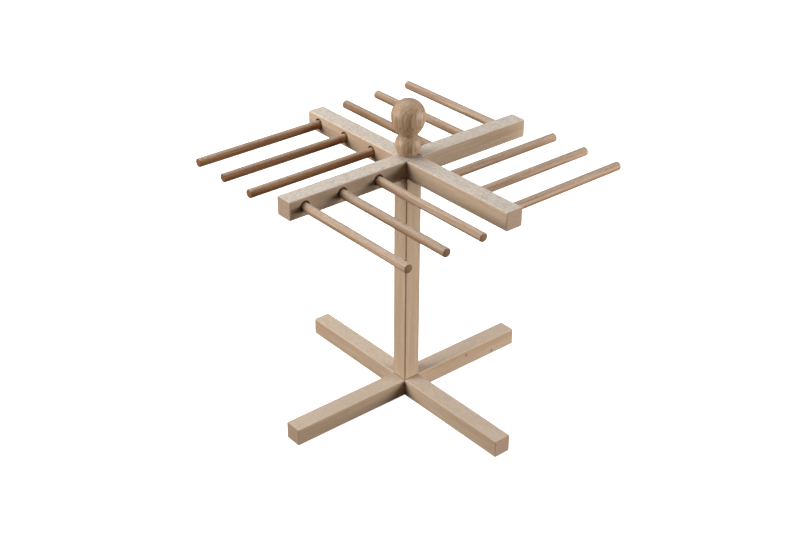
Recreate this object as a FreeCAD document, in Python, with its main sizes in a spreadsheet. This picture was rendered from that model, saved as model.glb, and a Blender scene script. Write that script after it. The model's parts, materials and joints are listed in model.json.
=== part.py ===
import FreeCAD, Part
import math
import os

import Sketcher

# A table-top drying rack: a half-lapped base cross, a post, a half-lapped cross of arms that is clamped on
# the post by a knob and its threaded stud, and three plug-in dowels in each of the four half arms.
# Frame: +Z up, origin at the middle of the underside of the base. Right is +X and front is -Y.

# Driving dimensions in millimetres: alias, value, meaning.
SIZES = (
    ("stock_width", 26.0, "side of the square stock of beams, arms and post"),
    ("stock_round", 2.0, "rounding of the long edges of the stock"),
    ("end_break", 0.5, "chamfer round the sawn ends of beams and arms"),
    ("base_beam_length", 398.0, "length of each base beam"),
    ("arm_length", 398.0, "length of each top arm"),
    ("post_length", 315.0, "post between the base cross and the arms"),
    ("lap_clearance", 0.15, "gap on each side of a half lap"),
    ("dowel_diameter", 12.0, "diameter of a dowel"),
    ("dowel_length", 214.0, "length of a dowel with its hidden end"),
    ("dowel_tip_round", 1.2, "rounding of a dowel's two ends"),
    ("dowel_hole_depth", 18.0, "depth of a dowel's blind hole"),
    ("dowel_end_gap", 0.5, "gap between a dowel's end and the hole's bottom"),
    ("dowel_fit", 0.08, "radial clearance of a dowel in its hole"),
    ("hole_mouth_break", 1.0, "chamfer at the mouth of a dowel hole"),
    ("first_dowel", 60.0, "post axis to the innermost dowel"),
    ("dowel_pitch", 58.0, "distance between neighbouring dowels"),
    ("stud_diameter", 8.0, "outside of the knob's threaded stud"),
    ("stud_in_knob", 26.0, "stud length inside the knob"),
    ("stud_in_post", 15.5, "stud length below the arms"),
    ("stud_end_break", 0.8, "chamfer at both ends of the stud"),
    ("stud_fit", 0.05, "radial clearance of the stud in knob and insert"),
    ("stud_end_gap", 2.0, "gap past the stud's end in the knob"),
    ("arm_bore_clearance", 0.5, "radial clearance of the stud in the arms"),
    ("insert_diameter", 12.0, "outside of the threaded insert"),
    ("insert_length", 15.0, "length of the threaded insert"),
    ("insert_recess", 0.5, "insert below the post's top face"),
    ("insert_relief", 6.0, "bore that goes on below the insert"),
    ("hardware_fit", 0.05, "radial clearance round hardware set in wood"),
    ("screw_diameter", 7.0, "shank of the base screw"),
    ("screw_length", 70.0, "length of the base screw with its head"),
    ("screw_head", 12.0, "diameter of the countersunk head"),
    ("screw_recess", 1.0, "head above the underside of the base"),
    ("screw_point", 6.0, "length of the tapered point"),
    ("screw_point_tip", 1.0, "radius at the end of the point"),
    ("screw_socket", 4.0, "across flats of the hexagon socket"),
    ("screw_socket_depth", 3.5, "depth of the hexagon socket"),
    ("screw_end_gap", 3.0, "gap past the screw's point in the post"),
    ("knob_foot", 16.0, "diameter of the knob's small foot"),
    ("knob_bulb", 35.0, "diameter of the knob's lower bulb"),
    ("knob_bulb_height", 15.8, "middle of the lower bulb above the arms"),
    ("knob_crease", 21.2, "diameter of the crease between bulb and ball"),
    ("knob_ball", 45.2, "diameter of the knob's ball"),
    ("knob_ball_height", 56.0, "middle of the ball above the arms"),
)

# The four half arms anticlockwise from +X: name and the quarter turns that carry the right one there.
HALF_ARMS = (("right", 0), ("back", 1), ("left", 2), ("front", 3))
# The dowels of a half arm from the post outwards.
DOWEL_PLACES = ("inner", "middle", "outer")

# The sketcher's numbers for its origin and axes, and for the points of a line, an arc or a circle.
ORIGIN = -1
ACROSS_AXIS = -1
UP_AXIS = -2
START = 1
END = 2
CENTRE = 3
# Places and directions closer than this are the same.
NEAR = 1e-4
Z_AXIS = FreeCAD.Vector(0, 0, 1)

doc = FreeCAD.newDocument("drying_rack")


def make_sheet():
    """Fill the spreadsheet with the driving dimensions."""
    sheet = doc.addObject("Spreadsheet::Sheet", "sizes")
    for row, (alias, value, meaning) in enumerate(SIZES, start=1):
        sheet.set(f"A{row}", meaning)
        sheet.set(f"B{row}", str(value))
        sheet.setAlias(f"B{row}", alias)
    doc.recompute()


def new_body(label):
    """Start a sub-part, which is written to the file of its label."""
    body = doc.addObject("PartDesign::Body", label)
    body.Label = label
    doc.recompute()
    return body


def origin_item(body, role):
    """Return the body's own origin plane or axis of that role."""
    return next(item for item in body.Origin.OriginFeatures if item.Role == role)


def new_sketch(body, name, role, offset=None):
    """Attach an empty sketch to one of the body's origin planes, moved along its normal by offset."""
    sketch = body.newObject("Sketcher::SketchObject", name)
    sketch.AttachmentSupport = [(origin_item(body, role), "")]
    sketch.MapMode = "FlatFace"
    if offset:
        sketch.setExpression(".AttachmentOffset.Base.z", offset)
    return sketch


def drive(sketch, constraint, expression):
    """Add a dimension to the sketch and bind it to the sheet."""
    index = sketch.addConstraint(constraint)
    sketch.setExpression(f"Constraints[{index}]", expression)


def pin_point(sketch, shape, point, across, up):
    """Hold a point of the sketch at two expressions from its origin. None holds it on the axis."""
    for kind, expression, axis in (("DistanceX", across, UP_AXIS), ("DistanceY", up, ACROSS_AXIS)):
        if expression is None:
            sketch.addConstraint(Sketcher.Constraint("PointOnObject", shape, point, axis))
        else:
            size = float(sketch.evalExpression(expression))
            drive(sketch, Sketcher.Constraint(kind, ORIGIN, START, shape, point, size), expression)


def value_or_zero(sketch, expression):
    """Return an expression's value, and 0 where there is none."""
    return float(sketch.evalExpression(expression)) if expression else 0.0


def add_circle(sketch, across, up, radius):
    """Draw a circle whose centre and radius are expressions."""
    middle = FreeCAD.Vector(value_or_zero(sketch, across), value_or_zero(sketch, up), 0)
    size = float(sketch.evalExpression(radius))
    circle = sketch.addGeometry(Part.Circle(middle, Z_AXIS, size))
    pin_point(sketch, circle, CENTRE, across, up)
    drive(sketch, Sketcher.Constraint("Radius", circle, size), radius)


def add_closed_lines(sketch, points):
    """Draw a closed outline of straight lines and return them, each starting at its point."""
    lines = [
        sketch.addGeometry(Part.LineSegment(begin, finish))
        for begin, finish in zip(points, points[1:] + points[:1])
    ]
    for line, following in zip(lines, lines[1:] + lines[:1]):
        sketch.addConstraint(Sketcher.Constraint("Coincident", line, END, following, START))
    return lines


def add_profile(sketch, corners):
    """Draw a closed outline through corners given as pairs of expressions."""
    points = [
        FreeCAD.Vector(value_or_zero(sketch, across), value_or_zero(sketch, up), 0)
        for across, up in corners
    ]
    for line, (across, up) in zip(add_closed_lines(sketch, points), corners):
        pin_point(sketch, line, START, across, up)


def add_rectangle(sketch, half_width, low, high):
    """Draw a rectangle that is centred across and runs from low to high, all of them expressions."""
    left = f"-({half_width})"
    add_profile(sketch, [(left, low), (half_width, low), (half_width, high), (left, high)])


def add_hexagon(sketch, across_flats):
    """Draw a regular hexagon about the sketch's origin with a corner on the axis across."""
    corner_radius = f"{across_flats} / 2 / cos(30 deg)"
    size = float(sketch.evalExpression(corner_radius))
    turns = [math.radians(60 * corner) for corner in range(6)]
    sides = add_closed_lines(
        sketch, [FreeCAD.Vector(size * math.cos(turn), size * math.sin(turn), 0) for turn in turns]
    )
    rim = sketch.addGeometry(Part.Circle(FreeCAD.Vector(), Z_AXIS, size), True)
    sketch.addConstraint(Sketcher.Constraint("Coincident", rim, CENTRE, ORIGIN, START))
    sketch.addConstraint(Sketcher.Constraint("PointOnObject", sides[0], START, ACROSS_AXIS))
    for side in sides:
        sketch.addConstraint(Sketcher.Constraint("PointOnObject", side, START, rim))
    for side in sides[1:]:
        sketch.addConstraint(Sketcher.Constraint("Equal", sides[0], side))
    drive(sketch, Sketcher.Constraint("Radius", rim, size), corner_radius)


def bind(feature, **expressions):
    """Bind properties of a feature to expressions of the sheet."""
    for name, expression in expressions.items():
        feature.setExpression(name, expression)


def add_pad(body, name, sketch, length, symmetric=False):
    """Pad a sketch along its normal, or half each way."""
    feature = body.newObject("PartDesign::Pad", name)
    feature.Profile = sketch
    feature.SideType = "Symmetric" if symmetric else "One side"
    bind(feature, Length=length)
    doc.recompute()
    return feature


def add_cut(body, kind, name, sketch, reverse=False, through=False, **expressions):
    """Cut a sketch out of the body as a Pocket or a Hole, and make sure that it removes material."""
    volume = body.Shape.Volume
    feature = body.newObject(f"PartDesign::{kind}", name)
    feature.Profile = sketch
    feature.Reversed = reverse
    doc.recompute()
    if through:
        feature.Type = "ThroughAll"
        feature.SideType = "Symmetric"
    if kind == "Hole":
        feature.DepthType = "Dimension"
        feature.DrillPoint = "Flat"
        feature.HoleCutType = "Countersink"
        feature.HoleCutCountersinkAngle = 90
    bind(feature, **expressions)
    doc.recompute()
    if not body.Shape.Volume < volume:
        raise RuntimeError(f"{body.Label}.{name} cuts nothing")
    return feature


def dress_edges(body, kind, name, base, size, wanted):
    """Fillet or chamfer the edges of a feature that pass a test."""
    names = [f"Edge{i}" for i, edge in enumerate(base.Shape.Edges, start=1) if wanted(edge)]
    feature = body.newObject(f"PartDesign::{kind}", name)
    feature.Base = (base, names)
    bind(feature, **{"Radius" if kind == "Fillet" else "Size": size})
    doc.recompute()
    return feature


def runs_along(axis):
    """Return a test for straight edges along one axis."""
    def wanted(edge):
        first, last = (vertex.Point for vertex in edge.Vertexes)
        return abs((last - first).normalize().dot(axis)) > 1 - NEAR
    return wanted


def lies_at(axis, *places):
    """Return a test for edges that lie whole at one of the places along an axis."""
    def wanted(edge):
        return any(
            all(abs(vertex.Point.dot(axis) - place) < NEAR for vertex in edge.Vertexes)
            for place in places
        )
    return wanted


def make_lapped_bar(label, length, notch_low, notch_high):
    """Make a bar along X on z = 0 with rounded edges and a notch for the bar that crosses it."""
    body = new_body(label)
    section = new_sketch(body, "section", "YZ_Plane")
    add_rectangle(section, "sizes.stock_width / 2", None, "sizes.stock_width")
    bar = add_pad(body, "bar", section, length, symmetric=True)
    along = FreeCAD.Vector(1, 0, 0)
    eased = dress_edges(body, "Fillet", "eased_edges", bar, "sizes.stock_round", runs_along(along))
    half = bar.Length.Value / 2
    dress_edges(body, "Chamfer", "sawn_ends", eased, "sizes.end_break", lies_at(along, -half, half))
    notch = new_sketch(body, "notch_outline", "XZ_Plane")
    add_rectangle(notch, "sizes.stock_width / 2 + sizes.lap_clearance", notch_low, notch_high)
    add_cut(body, "Pocket", "notch", notch, through=True)
    return body


def place(body, up, quarter_turns=0):
    """Turn a body about the post's axis and lift it."""
    body.Placement = FreeCAD.Placement(FreeCAD.Vector(), FreeCAD.Rotation(Z_AXIS, 90 * quarter_turns))
    body.setExpression(".Placement.Base.z", up)


def make_base_beams():
    """Make the two base beams, the lower one with the screw's countersink."""
    shank_bore = "sizes.screw_diameter + 2 * sizes.hardware_fit"
    upper = make_lapped_bar("base_beam_left_right", "sizes.base_beam_length", None, "sizes.stock_width / 2")
    bore = new_sketch(upper, "screw_bore_outline", "XY_Plane")
    add_circle(bore, None, None, f"({shank_bore}) / 2")
    add_cut(upper, "Pocket", "screw_bore", bore, through=True)
    lower = make_lapped_bar(
        "base_beam_front_back", "sizes.base_beam_length", "sizes.stock_width / 2", "sizes.stock_width"
    )
    bore = new_sketch(lower, "screw_bore_outline", "XY_Plane")
    add_circle(bore, None, None, f"({shank_bore}) / 2")
    add_cut(
        lower, "Hole", "screw_bore", bore, reverse=True,
        Diameter=shank_bore,
        Depth="sizes.stock_width",
        HoleCutDiameter="sizes.screw_head + 2 * sizes.screw_recess + 2 * sizes.hardware_fit",
    )
    place(lower, "0", quarter_turns=1)
    return [upper, lower]


def make_post():
    """Make the post, bored at the top for the insert and the stud and at the bottom for the screw."""
    body = new_body("post")
    section = new_sketch(body, "section", "XY_Plane")
    add_rectangle(section, "sizes.stock_width / 2", "-sizes.stock_width / 2", "sizes.stock_width / 2")
    bar = add_pad(body, "bar", section, "sizes.post_length")
    dress_edges(body, "Fillet", "eased_edges", bar, "sizes.stock_round", runs_along(Z_AXIS))
    seat = new_sketch(body, "insert_seat_outline", "XY_Plane", "sizes.post_length")
    add_circle(seat, None, None, "sizes.insert_diameter / 2 + sizes.hardware_fit")
    add_cut(
        body, "Pocket", "insert_seat", seat, Length="sizes.insert_recess + sizes.insert_length"
    )
    relief = new_sketch(body, "stud_relief_outline", "XY_Plane", "sizes.post_length")
    add_circle(relief, None, None, "sizes.stud_diameter / 2 + sizes.arm_bore_clearance")
    add_cut(
        body, "Pocket", "stud_relief", relief,
        Length="sizes.insert_recess + sizes.insert_length + sizes.insert_relief",
    )
    pilot = new_sketch(body, "screw_pilot_outline", "XY_Plane")
    add_circle(pilot, None, None, "sizes.screw_diameter / 2 + sizes.hardware_fit")
    in_post = "sizes.screw_recess + sizes.screw_length - sizes.stock_width + sizes.screw_end_gap"
    add_cut(body, "Pocket", "screw_pilot", pilot, reverse=True, Length=in_post)
    place(body, "sizes.stock_width")
    return body


def make_arms():
    """Make the two arms, each with three blind dowel holes in each half, and the stud's bore."""
    arms = []
    layout = (
        ("arm_left_right", None, "sizes.stock_width / 2", 0),
        ("arm_front_back", "sizes.stock_width / 2", "sizes.stock_width", 1),
    )
    for label, notch_low, notch_high, quarter_turns in layout:
        body = make_lapped_bar(label, "sizes.arm_length", notch_low, notch_high)
        bore = new_sketch(body, "stud_bore_outline", "XY_Plane")
        add_circle(bore, None, None, "sizes.stud_diameter / 2 + sizes.arm_bore_clearance")
        add_cut(body, "Pocket", "stud_bore", bore, through=True)
        centres = new_sketch(body, "dowel_holes_outline", "XZ_Plane", "-sizes.stock_width / 2")
        for number in range(len(DOWEL_PLACES)):
            add_circle(
                centres,
                f"sizes.first_dowel + {number} * sizes.dowel_pitch",
                "sizes.stock_width / 2",
                "sizes.dowel_diameter / 2",
            )
        holes = add_cut(
            body, "Hole", "dowel_holes", centres, reverse=True,
            Diameter="sizes.dowel_diameter + 2 * sizes.dowel_fit",
            Depth="sizes.dowel_hole_depth",
            HoleCutDiameter="sizes.dowel_diameter + 2 * sizes.dowel_fit + 2 * sizes.hole_mouth_break",
        )
        pattern = body.newObject("PartDesign::PolarPattern", "dowel_holes_both_halves")
        pattern.Originals = [holes]
        pattern.Axis = (origin_item(body, "Z_Axis"), [""])
        pattern.Angle = 360
        pattern.Occurrences = 2
        body.Tip = pattern
        doc.recompute()
        place(body, "sizes.stock_width + sizes.post_length", quarter_turns)
        arms.append(body)
    return arms


def make_rod(label, radius, length, dressing, size):
    """Make a round rod on z = 0 along Z with both ends dressed."""
    body = new_body(label)
    section = new_sketch(body, "section", "XY_Plane")
    add_circle(section, None, None, radius)
    rod = add_pad(body, "rod", section, length)
    ends = lies_at(Z_AXIS, 0, rod.Length.Value)
    dress_edges(body, dressing, "dressed_ends", rod, size, lambda edge: edge.Closed and ends(edge))
    return body


def make_dowels():
    """Make the three dowels of each half arm, each with its axis level and its end in its hole."""
    dowels = []
    inward = "sizes.stock_width / 2 - sizes.dowel_hole_depth + sizes.dowel_end_gap"
    height = "sizes.stock_width + sizes.post_length + sizes.stock_width / 2"
    level = FreeCAD.Rotation(FreeCAD.Vector(1, 0, 0), -90)
    for half_arm, quarter_turns in HALF_ARMS:
        turn = FreeCAD.Rotation(Z_AXIS, 90 * quarter_turns)
        along = turn.multVec(FreeCAD.Vector(1, 0, 0))
        outward = turn.multVec(FreeCAD.Vector(0, 1, 0))
        for number, place_name in enumerate(DOWEL_PLACES):
            body = make_rod(
                f"dowel_{half_arm}_{place_name}", "sizes.dowel_diameter / 2", "sizes.dowel_length",
                "Fillet", "sizes.dowel_tip_round",
            )
            body.Placement = FreeCAD.Placement(FreeCAD.Vector(), turn * level)
            reach = f"sizes.first_dowel + {number} * sizes.dowel_pitch"
            for name in ("x", "y"):
                shares = (round(getattr(along, name)), round(getattr(outward, name)))
                body.setExpression(
                    f".Placement.Base.{name}", f"{shares[0]} * ({reach}) + {shares[1]} * ({inward})"
                )
            body.setExpression(".Placement.Base.z", height)
            dowels.append(body)
    return dowels


def make_insert():
    """Make the threaded insert in the top of the post, its thread taken as a plain bore."""
    body = new_body("post_insert")
    section = new_sketch(body, "section", "XY_Plane")
    add_circle(section, None, None, "sizes.insert_diameter / 2")
    add_circle(section, None, None, "sizes.stud_diameter / 2 + sizes.stud_fit")
    add_pad(body, "sleeve", section, "sizes.insert_length")
    place(body, "sizes.stock_width + sizes.post_length - sizes.insert_recess - sizes.insert_length")
    return body


def make_stud():
    """Make the threaded stud that hangs from the knob through the arms, its thread taken as plain."""
    length = "sizes.stud_in_post + sizes.stock_width + sizes.stud_in_knob"
    body = make_rod("knob_stud", "sizes.stud_diameter / 2", length, "Chamfer", "sizes.stud_end_break")
    place(body, "sizes.stock_width + sizes.post_length - sizes.stud_in_post")
    return body


def revolve(body, name, sketch):
    """Turn a sketch once about the body's Z axis."""
    feature = body.newObject("PartDesign::Revolution", name)
    feature.Profile = sketch
    feature.ReferenceAxis = (origin_item(body, "Z_Axis"), [""])
    feature.Angle = 360
    doc.recompute()
    return feature


def make_screw():
    """Make the countersunk base screw, head down, with a hexagon socket and a tapered point."""
    body = new_body("base_screw")
    shank = "sizes.screw_diameter / 2"
    outline = new_sketch(body, "outline", "XZ_Plane")
    corners = [
        (None, None),
        ("sizes.screw_head / 2", None),
        (shank, f"sizes.screw_head / 2 - {shank}"),
        (shank, "sizes.screw_length - sizes.screw_point"),
        ("sizes.screw_point_tip", "sizes.screw_length"),
        (None, "sizes.screw_length"),
    ]
    add_profile(outline, corners)
    revolve(body, "turned", outline)
    socket = new_sketch(body, "socket_outline", "XY_Plane")
    add_hexagon(socket, "sizes.screw_socket")
    add_cut(body, "Pocket", "socket", socket, reverse=True, Length="sizes.screw_socket_depth")
    place(body, "sizes.screw_recess")
    return body


def arc_about(middle, begin, finish):
    """Return the arc about a middle that runs anticlockwise from one point to another."""
    first, last = (math.atan2(point.y - middle.y, point.x - middle.x) for point in (begin, finish))
    return Part.ArcOfCircle(Part.Circle(middle, Z_AXIS, (begin - middle).Length), first, last)


def make_knob():
    """Make the turned knob: foot, round bulb, crease and a ball that runs down to the crease like a pear."""
    body = new_body("knob")
    outline = new_sketch(body, "outline", "XZ_Plane")

    def size(expression):
        return float(outline.evalExpression(expression))

    foot = size("sizes.knob_foot / 2")
    crease = size("sizes.knob_crease / 2")
    bulb_radius = size("sizes.knob_bulb / 2")
    ball_radius = size("sizes.knob_ball / 2")
    bulb = FreeCAD.Vector(0, size("sizes.knob_bulb_height"), 0)
    ball = FreeCAD.Vector(0, size("sizes.knob_ball_height"), 0)
    foot_corner = FreeCAD.Vector(foot, 0, 0)
    foot_top = FreeCAD.Vector(foot, bulb.y - math.sqrt(bulb_radius**2 - foot**2), 0)
    crease_point = FreeCAD.Vector(crease, bulb.y + math.sqrt(bulb_radius**2 - crease**2), 0)
    ball_side = FreeCAD.Vector(ball_radius, ball.y, 0)
    ball_top = FreeCAD.Vector(0, ball.y + ball_radius, 0)
    # The pear's arc is level with the ball's middle, touches the ball there and ends at the crease.
    drop = ball.y - crease_point.y
    step_in = ball_radius - crease
    pear_radius = (step_in**2 + drop**2) / (2 * step_in)
    pear = FreeCAD.Vector(ball_radius - pear_radius, ball.y, 0)
    shapes = (
        Part.LineSegment(FreeCAD.Vector(), foot_corner),
        Part.LineSegment(foot_corner, foot_top),
        arc_about(bulb, foot_top, crease_point),
        arc_about(pear, crease_point, ball_side),
        arc_about(ball, ball_side, ball_top),
        Part.LineSegment(ball_top, FreeCAD.Vector()),
    )
    floor, side, bulb_arc, pear_arc, ball_arc, axis = (outline.addGeometry(shape) for shape in shapes)
    joined = (
        ("Coincident", floor, START, ORIGIN, START),
        ("Coincident", floor, END, side, START),
        ("Coincident", side, END, bulb_arc, START),
        ("Coincident", bulb_arc, END, pear_arc, START),
        ("Tangent", pear_arc, END, ball_arc, START),
        ("Coincident", ball_arc, END, axis, START),
        ("Coincident", axis, END, floor, START),
        ("Horizontal", floor),
        ("Vertical", side),
        ("Vertical", axis),
        ("Horizontal", ball_arc, CENTRE, ball_arc, START),
    )
    for constraint in joined:
        outline.addConstraint(Sketcher.Constraint(*constraint))
    pin_point(outline, bulb_arc, CENTRE, None, "sizes.knob_bulb_height")
    pin_point(outline, ball_arc, CENTRE, None, "sizes.knob_ball_height")
    driven = (
        (("DistanceX", floor, START, floor, END, foot), "sizes.knob_foot / 2"),
        (("DistanceX", ORIGIN, START, bulb_arc, END, crease), "sizes.knob_crease / 2"),
        (("Radius", bulb_arc, bulb_radius), "sizes.knob_bulb / 2"),
        (("Radius", ball_arc, ball_radius), "sizes.knob_ball / 2"),
    )
    for constraint, expression in driven:
        drive(outline, Sketcher.Constraint(*constraint), expression)
    revolve(body, "turned", outline)
    bore = new_sketch(body, "stud_bore_outline", "XY_Plane")
    add_circle(bore, None, None, "sizes.stud_diameter / 2 + sizes.stud_fit")
    add_cut(
        body, "Pocket", "stud_bore", bore, reverse=True, Length="sizes.stud_in_knob + sizes.stud_end_gap"
    )
    place(body, "2 * sizes.stock_width + sizes.post_length")
    return body


def check_document():
    """Stop on any object that failed to build."""
    for item in doc.Objects:
        if {"Invalid", "Error"} & set(item.State):
            raise RuntimeError(f"{item.Label} is {item.State}")


def write_parts(bodies):
    """Write each sub-part's solid to the file of its label."""
    os.makedirs("parts", exist_ok=True)
    for body in bodies:
        if body.Shape.isNull() or not body.Shape.isValid() or len(body.Shape.Solids) != 1:
            raise RuntimeError(f"{body.Label} has no single valid solid")
    for body in bodies:
        body.Shape.exportStep(f"parts/{body.Label}.step")
        box = body.Shape.BoundBox
        print(f"{body.Label}: {box.XLength:.1f} x {box.YLength:.1f} x {box.ZLength:.1f} mm")


make_sheet()
rack = make_base_beams() + [make_post()] + make_arms() + make_dowels()
rack += [make_insert(), make_stud(), make_screw(), make_knob()]
doc.recompute()
check_document()
write_parts(rack)
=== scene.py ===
"""Looks of a table-top drying rack: beech stock, plug-in dowels and a turned knob on a threaded stud."""

import json
import logging
import math
from collections.abc import Callable, Sequence
from dataclasses import dataclass, replace
from enum import Enum

import bmesh
import bpy
from mathutils import Euler, Matrix, Vector

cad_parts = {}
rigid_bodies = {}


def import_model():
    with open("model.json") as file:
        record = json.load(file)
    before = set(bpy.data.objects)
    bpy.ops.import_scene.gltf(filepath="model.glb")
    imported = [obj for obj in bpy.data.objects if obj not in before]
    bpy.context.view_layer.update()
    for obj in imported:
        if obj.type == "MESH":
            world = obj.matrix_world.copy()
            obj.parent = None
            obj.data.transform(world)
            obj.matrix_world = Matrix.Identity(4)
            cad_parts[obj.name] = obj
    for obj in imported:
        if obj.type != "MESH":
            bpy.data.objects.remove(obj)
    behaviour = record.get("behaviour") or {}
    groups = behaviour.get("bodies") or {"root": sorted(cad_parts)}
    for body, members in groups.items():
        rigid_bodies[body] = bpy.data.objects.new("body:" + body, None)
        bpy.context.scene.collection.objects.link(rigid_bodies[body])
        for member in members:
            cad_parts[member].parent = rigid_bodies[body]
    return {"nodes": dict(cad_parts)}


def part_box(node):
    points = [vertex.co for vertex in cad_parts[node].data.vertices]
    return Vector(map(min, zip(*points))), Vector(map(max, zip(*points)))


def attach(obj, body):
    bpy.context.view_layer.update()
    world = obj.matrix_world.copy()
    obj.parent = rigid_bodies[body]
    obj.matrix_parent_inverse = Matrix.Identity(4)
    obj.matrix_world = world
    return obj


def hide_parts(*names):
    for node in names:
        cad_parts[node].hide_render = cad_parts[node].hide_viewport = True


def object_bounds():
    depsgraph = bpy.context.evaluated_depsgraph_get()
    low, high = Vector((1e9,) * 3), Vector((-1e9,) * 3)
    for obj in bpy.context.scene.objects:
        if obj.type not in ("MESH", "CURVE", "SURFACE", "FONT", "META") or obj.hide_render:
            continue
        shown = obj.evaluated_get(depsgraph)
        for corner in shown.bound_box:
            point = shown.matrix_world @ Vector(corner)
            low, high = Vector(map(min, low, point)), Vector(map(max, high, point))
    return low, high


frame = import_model()
CAD_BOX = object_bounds()

LOG = logging.getLogger("rack")
FULL_TURN = 2.0 * math.pi
QUARTER_TURN = 0.5 * math.pi
MERGE_DISTANCE = 1e-6
SMOOTH_ANGLE = math.radians(38)

Colour = tuple[float, float, float, float]
Feed = float | Sequence[float] | bpy.types.NodeSocket
Step = tuple[float, float]

# Dark brown for the painted shade above the dowel holes and for the dark joint lines at the seams.
SHADE_AND_JOINT_COLOUR: Colour = (0.060, 0.024, 0.011, 1.0)
WHOLE = 1.0


class Grain(Enum):
    """Which way the grain runs; the value turns that direction onto the pattern's X axis."""

    ALONG_X = (0.0, 0.0, 0.0)
    ALONG_Y = (0.0, 0.0, -QUARTER_TURN)
    ALONG_Z = (0.0, QUARTER_TURN, 0.0)


class ShaderBench:
    """A bench on which the nodes of one finish are laid out and joined."""

    def __init__(self, name: str) -> None:
        """Start a material that holds only a surface shader.

        Args:
            name: the material's name.
        """
        self.material = bpy.data.materials.new(name)
        self.material.use_nodes = True
        self.tree = self.material.node_tree
        self.tree.nodes.clear()
        self.shader = self.tree.nodes.new("ShaderNodeBsdfPrincipled")
        output = self.tree.nodes.new("ShaderNodeOutputMaterial")
        self.tree.links.new(self.shader.outputs["BSDF"], output.inputs["Surface"])
        self.objects = self.tree.nodes.new("ShaderNodeTexCoord")

    def feed(self, socket: bpy.types.NodeSocket, value: Feed) -> None:
        """Join a socket to another, or set its value.

        Args:
            socket: the input to fill.
            value: another node's output, a number or a row of numbers.
        """
        if isinstance(value, bpy.types.NodeSocket):
            self.tree.links.new(value, socket)
        else:
            socket.default_value = value

    def set_shader(self, **values: Feed) -> None:
        """Fill sockets of the surface shader, named with underscores for spaces."""
        for name, value in values.items():
            self.feed(self.shader.inputs[name.replace("_", " ")], value)

    def math(self, operation: str, *values: Feed) -> bpy.types.NodeSocket:
        """Work out a number from one, two or three others.

        Args:
            operation: name of the sum.
            values: its numbers, in the sum's own order.

        Returns:
            The answer's socket.
        """
        node = self.tree.nodes.new("ShaderNodeMath")
        node.operation = operation
        for socket, value in zip(node.inputs, values):
            self.feed(socket, value)
        return node.outputs[0]

    def stretch(self, place: bpy.types.NodeSocket, scale: Sequence[float]) -> bpy.types.NodeSocket:
        """Scale each coordinate of a place.

        Args:
            place: the place.
            scale: what each coordinate is multiplied by.

        Returns:
            The scaled place.
        """
        node = self.tree.nodes.new("ShaderNodeVectorMath")
        node.operation = "MULTIPLY"
        self.feed(node.inputs[0], place)
        self.feed(node.inputs[1], scale)
        return node.outputs[0]

    def distance(self, place: bpy.types.NodeSocket, centre: Sequence[float]) -> bpy.types.NodeSocket:
        """Measure how far a place is from a centre.

        Args:
            place: the place.
            centre: the centre.

        Returns:
            The distance.
        """
        node = self.tree.nodes.new("ShaderNodeVectorMath")
        node.operation = "DISTANCE"
        self.feed(node.inputs[0], place)
        self.feed(node.inputs[1], centre)
        return node.outputs["Value"]

    def split(self, vector: bpy.types.NodeSocket) -> tuple[bpy.types.NodeSocket, ...]:
        """Split a vector.

        Args:
            vector: the vector's socket.

        Returns:
            Its three coordinates.
        """
        node = self.tree.nodes.new("ShaderNodeSeparateXYZ")
        self.feed(node.inputs[0], vector)
        return tuple(node.outputs)

    def turned(self, grain: Grain, middle: Vector, start: Sequence[float]) -> bpy.types.NodeSocket:
        """Turn object coordinates so that the grain runs along X, and measure them from a piece's middle.

        Args:
            grain: which way the grain runs.
            middle: the piece's middle.
            start: the pattern's place at that middle, along the grain first.

        Returns:
            The place in the log.
        """
        node = self.tree.nodes.new("ShaderNodeMapping")
        self.feed(node.inputs["Vector"], self.objects.outputs["Object"])
        node.inputs["Rotation"].default_value = grain.value
        node.inputs["Location"].default_value = Vector(start) - Euler(grain.value).to_matrix() @ middle
        return node.outputs[0]

    def cloud(self, place: Feed, scale: Sequence[float], detail: float = 2.0) -> bpy.types.NodeSocket:
        """Lay out an uneven pattern.

        Args:
            place: where the pattern is read.
            scale: how many blotches per metre, along each axis.
            detail: how many finer layers are added.

        Returns:
            The pattern, from 0 to 1.
        """
        node = self.tree.nodes.new("ShaderNodeTexNoise")
        self.feed(node.inputs["Vector"], self.stretch(place, scale))
        node.inputs["Scale"].default_value = 1.0
        node.inputs["Detail"].default_value = detail
        return node.outputs[0]

    def ramp(self, value: Feed, low: float, high: float, top: float = 1.0) -> bpy.types.NodeSocket:
        """Lay out a smooth step.

        Args:
            value: the number that is followed.
            low: where the step starts, at 0.
            high: where it ends.
            top: its height there.

        Returns:
            The step.
        """
        node = self.tree.nodes.new("ShaderNodeMapRange")
        node.interpolation_type = "SMOOTHSTEP"
        self.feed(node.inputs["Value"], value)
        node.inputs["From Min"].default_value = low
        node.inputs["From Max"].default_value = high
        node.inputs["To Max"].default_value = top
        return node.outputs["Result"]

    def mix(self, amount: Feed, first: Feed, second: Feed, blend: str = "MIX") -> bpy.types.NodeSocket:
        """Lay one colour over another.

        Args:
            amount: how much of the second colour shows.
            first: the colour below.
            second: the colour on top.
            blend: how they are laid together.

        Returns:
            The mixed colour.
        """
        node = self.tree.nodes.new("ShaderNodeMix")
        node.data_type = "RGBA"
        node.blend_type = blend
        self.feed(node.inputs[0], amount)
        self.feed(node.inputs[6], first)
        self.feed(node.inputs[7], second)
        return node.outputs[2]

    def relief(self, height: bpy.types.NodeSocket, depth: float) -> None:
        """Give the surface a fine relief.

        Args:
            height: the pattern, from 0 to 1.
            depth: its depth in metres.
        """
        node = self.tree.nodes.new("ShaderNodeBump")
        node.inputs["Strength"].default_value = 1.0
        node.inputs["Distance"].default_value = depth
        self.feed(node.inputs["Height"], height)
        self.feed(self.shader.inputs["Normal"], node.outputs[0])

    def put_on(self, piece: bpy.types.Object) -> None:
        """Give a piece this finish and no other."""
        piece.data.materials.clear()
        piece.data.materials.append(self.material)


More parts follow.
